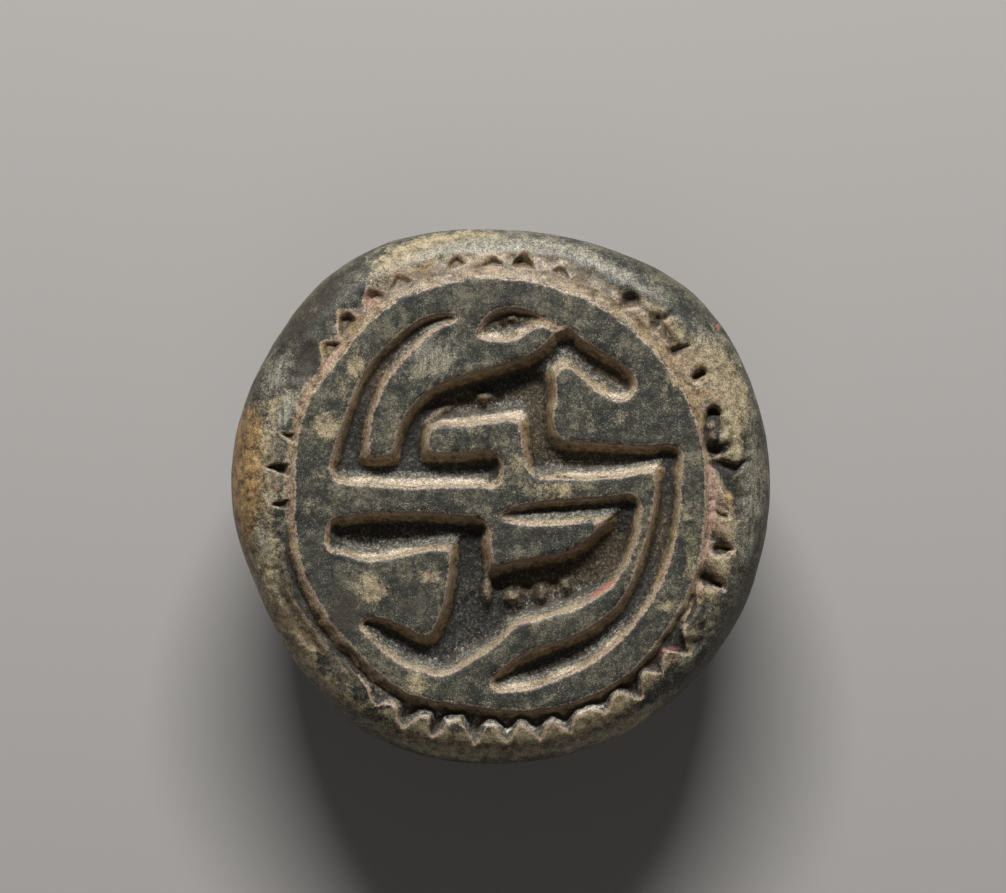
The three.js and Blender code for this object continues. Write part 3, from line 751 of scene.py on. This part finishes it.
# ---- The finish ----
# Noises: (size of the features in millimetres, detail, roughness, shift, stretch, turn).
NOISES = {
    "grit": (0.09, 2, 0.9), "fleck": (0.13, 2, 0.8, 0.4), "crumb": (0.16, 2, 0.8, 0.7),
    "speck": (0.22, 5, 0.85, 0.1), "clump": (0.5, 3, 0.7, 0.6), "cloud": (0.9, 5, 0.75, 0.2),
    "tuft": (1.3, 3, 0.6, 0.8), "broad": (2.6, 3, 0.55, 0.3),
    "fibre": (0.3, 4, 0.8, 0.5, (1, 0.2, 1), math.radians(-35)),
}
# Mixtures of noises and of the numbers stored in the mesh: a shift, then each one's weight.
MIXTURES = {
    "mottle": (0, ("speck", 0.4), ("cloud", 0.35), ("broad", 0.25)),
    "patchy": (0, ("speck", 0.6), ("cloud", 1), ("grit", 0.25)),
    "grain": (0, ("grit", 0.5), ("speck", 0.5)),
    "clots": (0, ("grain", 0.5), ("clump", 0.5)),
    "earth_grain": (0, ("grit", 0.25), ("speck", 0.5), ("crumb", 0.25)),
    "streaks": (0, ("fibre", 0.6), ("grit", 0.4)),
    "warmth": (0, ("cloud", 0.6), ("broad", 0.4)),
    "black_grains": (0, ("fleck", 1), ("cloud", -0.3)),
    "pale_grains": (0, ("grit", 1), ("cloud", 0.5)),
    "ragged_lip": (-0.275, ("speck", 0.3), ("cloud", 0.25), ("lip", 1)),
    "ragged_red": (-0.275, ("speck", 0.3), ("cloud", 0.25), ("red", 1)),
    "ragged_deep": (-0.7, ("grit", 0.7), ("cloud", 0.7), ("deep", 1)),
    "ragged_crest": (-0.108, ("speck", 0.08), ("cloud", 0.16), ("crest", 1)),
    "paleness": (-0.25, ("pale", 1), ("cloud", 1), ("broad", -0.5)),
    # Painted light on the floors: dust by the wall that faces +Y, where the key light reaches, none by
    # the wall that shades them.
    "dust_and_light": (-1.17, ("side", 0.95), ("ragged_deep", -0.35), ("cloud", 0.6), ("paleness", 0.5),
                ("earth_grain", 2)),
    # Where the floors' colours take over from the walls': sooner on walls that face +Y, later on those
    # that face away.
    "floor_share": (0.4, ("facing", 0.3), ("paleness", -0.45), ("ragged_deep", 1), ("speck", -0.8)),
    "brightness": (-0.5, ("grit", 2.1), ("cloud", 0.9)),
    "gloss": (0.26, ("speck", 0.35)),
}
# Colours that follow a noise or mixture: at each place along it, red, green and blue.
SHADES = {
    "stone": ("mottle", (0.42, 0.012, 0.013, 0.01), (0.5, 0.037, 0.037, 0.026),
              (0.58, 0.14, 0.122, 0.08)),
    "soot": ("grain", (0.4, 0.016, 0.012, 0.008), (0.62, 0.06, 0.048, 0.031)),
    "ochre": ("clots", (0.41, 0.06, 0.038, 0.017), (0.58, 0.4, 0.25, 0.105)),
    "olive": ("grain", (0.4, 0.028, 0.026, 0.013), (0.6, 0.14, 0.128, 0.07)),
    "tan": ("clots", (0.41, 0.1, 0.075, 0.04), (0.58, 0.44, 0.36, 0.22)),
    # Pale streaks; along the top of the shoulder, a painted highlight.
    "frost_and_sheen": ("streaks", (0.4, 0.05, 0.048, 0.036), (0.6, 0.36, 0.33, 0.25)),
    # Wall colours by the way a wall faces: those that face +Y, towards the key light, carry painted
    # light, those that face -Y painted shade, and ochre ones lie between.
    "side_wall": ("clots", (0.4, 0.07, 0.042, 0.018), (0.6, 0.4, 0.27, 0.13)),
    "warm_wall": ("grain", (0.38, 0.06, 0.042, 0.024), (0.61, 0.42, 0.32, 0.19)),
    "painted_light_wall": ("grain", (0.38, 0.13, 0.1, 0.064), (0.49, 0.44, 0.355, 0.25),
                   (0.6, 0.78, 0.67, 0.52)),
    # Painted shade on the walls that face -Y: lighter at the lip, darker further down.
    "shaded_lip": ("clots", (0.41, 0.2, 0.13, 0.085), (0.59, 0.68, 0.49, 0.3)),
    "shaded_wall": ("clots", (0.41, 0.055, 0.036, 0.015), (0.59, 0.4, 0.275, 0.135)),
    "moss": ("grain", (0.4, 0.04, 0.034, 0.016), (0.6, 0.24, 0.2, 0.1)),
    # Floors of the carving: near black, painted shade; and dust towards the key light, partly painted
    # light.
    "painted_shade_floor": ("earth_grain", (0.42, 0.002, 0.002, 0.001), (0.5, 0.007, 0.007, 0.005),
                    (0.58, 0.085, 0.08, 0.062)),
    "earth": ("earth_grain", (0.42, 0.008, 0.005, 0.002), (0.51, 0.042, 0.029, 0.013),
              (0.6, 0.2, 0.148, 0.075)),
    "floor_dust_and_light": ("earth_grain", (0.42, 0.025, 0.023, 0.018), (0.51, 0.1, 0.092, 0.072),
                   (0.6, 0.34, 0.315, 0.25)),
    "tan_crust": ("clots", (0.42, 0.045, 0.032, 0.016), (0.58, 0.38, 0.305, 0.19)),
    "brown_crust": ("clots", (0.42, 0.05, 0.03, 0.013), (0.58, 0.35, 0.24, 0.12)),
    "umber": ("grain", (0.38, 0.028, 0.019, 0.01), (0.62, 0.19, 0.135, 0.075)),
    "rosy_lip": ("clots", (0.41, 0.24, 0.155, 0.11), (0.59, 0.74, 0.52, 0.4)),
    "rose": ("clots", (0.41, 0.17, 0.1, 0.07), (0.58, 0.52, 0.34, 0.25)),
    "rosy_wear": ("grain", (0.37, 0.14, 0.095, 0.068), (0.62, 0.45, 0.325, 0.25)),
    "tan_wear": ("grain", (0.37, 0.13, 0.095, 0.058), (0.62, 0.45, 0.36, 0.24)),
    "clod": ("earth_grain", (0.42, 0.025, 0.018, 0.011), (0.6, 0.3, 0.225, 0.145)),
}
# Plain colours; the dark crease and corner colours are painted shade, laid where the surface is hollow.
PLAIN_COLOURS = {
    "black_grains": (0.017, 0.02, 0.018), "pale_grains": (0.24, 0.215, 0.15),
    "crease_shade": (0.014, 0.011, 0.008), "corner_shade": (0.045, 0.028, 0.015),
    # The first is a painted highlight, laid on the teeth where they face the key light.
    "painted_highlight": (0.58, 0.53, 0.44), "red": (0.4, 0.12, 0.09),
}


class Finish:
    """A material in the making. Each method adds nodes and gives back an output. A value is a
    number, an output, or the name of a noise, a mixture or a number stored in the mesh."""

    def __init__(self, name):
        self.material = bpy.data.materials.new(name)
        self.material.use_nodes = True
        self.shader = self.material.node_tree.nodes["Principled BSDF"]
        self.fields = {}

    def node(self, kind, inputs=(), output=0, **settings):
        made = self.material.node_tree.nodes.new("ShaderNode" + kind)
        for name, value in settings.items():
            setattr(made, name, value)
        self.feed(made, inputs)
        return made.outputs[output]

    def feed(self, node, inputs):
        for name, value in dict(inputs).items():
            if isinstance(value, str):
                value = self.field(value)
            if isinstance(value, bpy.types.NodeSocket):
                self.material.node_tree.links.new(value, node.inputs[name])
            else:
                node.inputs[name].default_value = value

    def field(self, name):
        """The output of a named value, made the first time that it is asked for."""
        if name not in self.fields:
            if name in NOISES:
                self.fields[name] = self.noise(*NOISES[name])
            elif name in MIXTURES:
                shift, *terms = MIXTURES[name]
                self.fields[name] = self.sum(*terms, shift=shift)
            else:
                self.fields[name] = self.node("Attribute", output="Fac", attribute_name=name)
        return self.fields[name]

    def noise(self, size, detail, roughness, shift=0.0, stretch=(1, 1, 1), turn=0.0):
        """Noise from 0 to 1 with features of about size millimetres, which can be drawn out."""
        place = self.node("TexCoord", output="Object")
        place = self.node("Mapping", {"Vector": place, "Location": (shift, 0, 0),
                                      "Rotation": (0, 0, turn), "Scale": stretch})
        return self.node("TexNoise", {"Vector": place, "Scale": 1 / (size * MM), "Detail": detail,
                                      "Roughness": roughness})

    def product(self, value, *others):
        for other in others:
            value = self.node("Math", {0: value, 1: other}, operation="MULTIPLY")
        return value

    def sum(self, *terms, shift=0.0):
        """Sum of values, each times its weight."""
        total = shift
        for value, weight in terms:
            total = self.node("Math", {0: value, 1: weight, 2: total}, operation="MULTIPLY_ADD")
        return total

    def step(self, value, low, high):
        """0 where the value is low, 1 where it is high."""
        return self.node("MapRange", {"Value": value, "From Min": low, "From Max": high},
                         interpolation_type="SMOOTHSTEP")

    def blotches(self, name, low, high, weight=0.8):
        """A tint's soft patches, broken up into blotches."""
        return self.step(self.sum((name, weight), ("patchy", 1)), low, high)

    def shade(self, name):
        """A named colour, which is plain or changes along its grain."""
        if name in PLAIN_COLOURS:
            return (*PLAIN_COLOURS[name], 1)
        along, *stops = SHADES[name]
        made = self.material.node_tree.nodes.new("ShaderNodeValToRGB")
        self.feed(made, {0: along})
        points = made.color_ramp.elements
        for i, (place, *colour) in enumerate(stops):
            point = points[i] if i < 2 else points.new(place)
            point.position, point.color = place, (*colour, 1)
        return made.outputs[0]

    def blend(self, amount, under, over):
        """One colour laid over another; both are outputs or names of shades."""
        under, over = (self.shade(colour) if isinstance(colour, str) else colour
                       for colour in (under, over))
        return self.node("Mix", {0: amount, 6: under, 7: over}, output=2, data_type="RGBA")


def walls(f):
    """Pale walls facing +Y (dust and painted light), warm brown walls facing -Y (painted shade), brown
    between.
    """
    # Painted light: the walls that face the key light are pale, the most where paleness is high.
    dust_and_painted_light = f.blend(f.step("paleness", 0.35, 0.75), "warm_wall", "painted_light_wall")
    # Painted shade: lighter at the lip, darker further down the wall.
    shaded = f.blend(f.step("ragged_deep", 0, 0.6), "shaded_lip", "shaded_wall")
    colour = f.blend(f.step("facing", 0.15, 0.55), "side_wall", dust_and_painted_light)
    colour = f.blend(f.step("facing", -0.15, -0.55), colour, shaded)
    return f.blend(f.product(f.step("tuft", 0.5, 0.6), 0.4), colour, "moss")


def floors(f):
    """Black floors (painted shade), browner in places, and dust and painted light on their -Y side."""
    colour = f.blend(f.step("earth", 0.1, 0.8), "painted_shade_floor", "earth")
    return f.blend(f.step("dust_and_light", 0.45, 0.8), colour, "floor_dust_and_light")


def stone_finish():
    """Dark mottled stone, tan crusts on it, dust and wear along the carving, and painted light and shade
    in it.
    """
    f = Finish("mottled_stone")
    shallow = f.step("deep", 0.95, 0.5)
    crust = f.blend(f.step("broad", 0.45, 0.62), "tan_crust", "brown_crust")
    shaded_lip = f.product(f.step("ragged_lip", -0.04, 0.04), f.step("ragged_lip", 0.2, 0.1),
                           f.step("facing", 0.1, -0.2), f.step("deep", 0.7, 0.4))
    edge = f.product(f.step("ragged_crest", 0.01, 0.035), f.step("deep", 0.9, 0.4),
                     f.step("ragged_lip", -0.14, -0.03), f.step("ragged_lip", 0.3, 0.12),
                     f.step("soot", 0.6, 0.2))
    worn = f.blend(f.step("warmth", 0.44, 0.56), "rosy_wear", "tan_wear")
    # Painted highlight on the teeth, only where they face the key light.
    painted_highlight = f.sum((f.product("painted_highlight", f.step("facing", 0.25, 0.6)), 1), ("speck", 1))
    # From the bare stone upwards: how much of each coat there is, and its colour.
    coats = [
        (f.product(f.step("black_grains", 0.4, 0.54), 0.75), "black_grains"),
        (f.product(f.step("pale_grains", 0.8, 0.96), 0.8), "pale_grains"),
        (f.blotches("soot", 1.05, 1.55), "soot"),
        (f.blotches("ochre", 1.05, 1.55), "ochre"),
        (f.blotches("olive", 1.0, 1.6), "olive"),
        (f.blotches("tan", 1.1, 1.5), "tan"),
        # Pale streaks, and a painted highlight on the top of the shoulder.
        (f.blotches("frost_and_sheen", 0.95, 1.65), "frost_and_sheen"),
        # Walls, with painted light and shade by the way they face.
        (f.step("ragged_lip", 0, 0.1), walls(f)),
        # Floors: painted shade, with dust and painted light by the walls that face the key light.
        (f.step("floor_share", 0.38, 0.72), floors(f)),
        # Painted shade in the creases.
        (f.product(f.step("crest", -0.018, -0.06), 0.6), "crease_shade"),
        (f.product(f.blotches("crust", 1.2, 1.6, 0.9), 0.85, shallow), crust),
        (f.product(f.blotches("umber", 1.25, 1.5), 0.85, shallow), "umber"),
        (f.product(shaded_lip, 0.75), "rosy_lip"),
        # Painted shade in the hollow corners.
        (f.product(f.step("crest", -0.02, -0.07), 0.8), "corner_shade"),
        (f.product(f.blotches("rose", 1.25, 1.65, 0.9), 0.8), "rose"),
        (edge, worn),
        ("clod", "clod"),
        (f.step(painted_highlight, 0.9, 1.3), "painted_highlight"),
        (f.product(f.step("ragged_red", 0.35, 0.65), 0.7), "red"),
    ]
    colour = f.shade("stone")
    for amount, coat in coats:
        colour = f.blend(amount, colour, coat)
    colour = f.node("VectorMath", {0: colour, "Scale": "brightness"}, operation="SCALE")
    # How far into the carving, where dust makes the stone rougher and bumpier; no colour follows it.
    dust_and_painted_light = f.step("deep", 0, 0.3)
    relief = f.node("Bump", {"Height": "grain", "Distance": 0.08 * MM,
                             "Strength": f.sum((dust_and_painted_light, 0.4), shift=0.6)})
    f.feed(f.shader, {"Base Color": colour, "Normal": relief,
                      "Roughness": f.sum((dust_and_painted_light, 0.3), ("soot", 0.2), ("gloss", 1))})
    return f.material


def plain_finish(name, colour, roughness):
    f = Finish(name)
    f.feed(f.shader, {"Base Color": (*colour, 1), "Roughness": roughness})
    return f.material


# ---- The piece ----
stone_mesh = make_blank()
carve(stone_mesh)
stone_mesh.materials.append(stone_finish())
stone_mesh.shade_smooth()
stone = bpy.data.objects.new("amulet_stone", stone_mesh)
bpy.context.collection.objects.link(stone)
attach(stone, "root")
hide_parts("seal_stone")

# ---- The stage, in metres ----
bpy.ops.mesh.primitive_plane_add(size=1.2)
floor = bpy.context.object
floor.name = "floor"
floor.data.materials.append(plain_finish("pale_floor", (0.36, 0.345, 0.33), 0.8))


def softbox(name, elevation, azimuth, distance, size, power):
    """An area light aimed at the middle of the face; azimuth 0 is over the +Y side."""
    data = bpy.data.lights.new(name, "AREA")
    data.shape = "RECTANGLE"
    data.size, data.size_y = size
    data.energy = power
    light = bpy.data.objects.new(name, data)
    bpy.context.collection.objects.link(light)
    lift, turn = math.radians(elevation), math.radians(azimuth)
    towards = Vector((math.sin(turn) * math.cos(lift), math.cos(turn) * math.cos(lift), math.sin(lift)))
    light.location = Vector((0, 0, HEIGHT * MM)) + towards * distance
    light.rotation_euler = towards.to_track_quat("Z", "Y").to_euler()


softbox("key", 38, 0, 0.35, (0.2, 0.04), 2.0)
softbox("fill", 62, 180, 0.5, (0.3, 0.3), 0.16)
world = bpy.data.worlds.new("room")
world.use_nodes = True
world.node_tree.nodes["Background"].inputs["Color"].default_value = (0.5, 0.49, 0.48, 1)
world.node_tree.nodes["Background"].inputs["Strength"].default_value = 0.1
bpy.context.scene.world = world
bpy.context.scene.view_settings.view_transform = "Standard"

VIEW_WIDTH = 56.2955          # millimetres across the camera's view at the widest level
VIEW_CENTRE = (0.11, 2.83)    # the camera looks straight down on this place
lens = bpy.data.cameras.new("camera")
lens.lens, lens.sensor_width = 200, 36
lens.clip_start, lens.clip_end = 0.01, 5
camera = bpy.data.objects.new("camera", lens)
bpy.context.collection.objects.link(camera)
camera.location = Vector((*VIEW_CENTRE, WIDEST + VIEW_WIDTH * lens.lens / lens.sensor_width)) * MM
bpy.context.scene.camera = camera
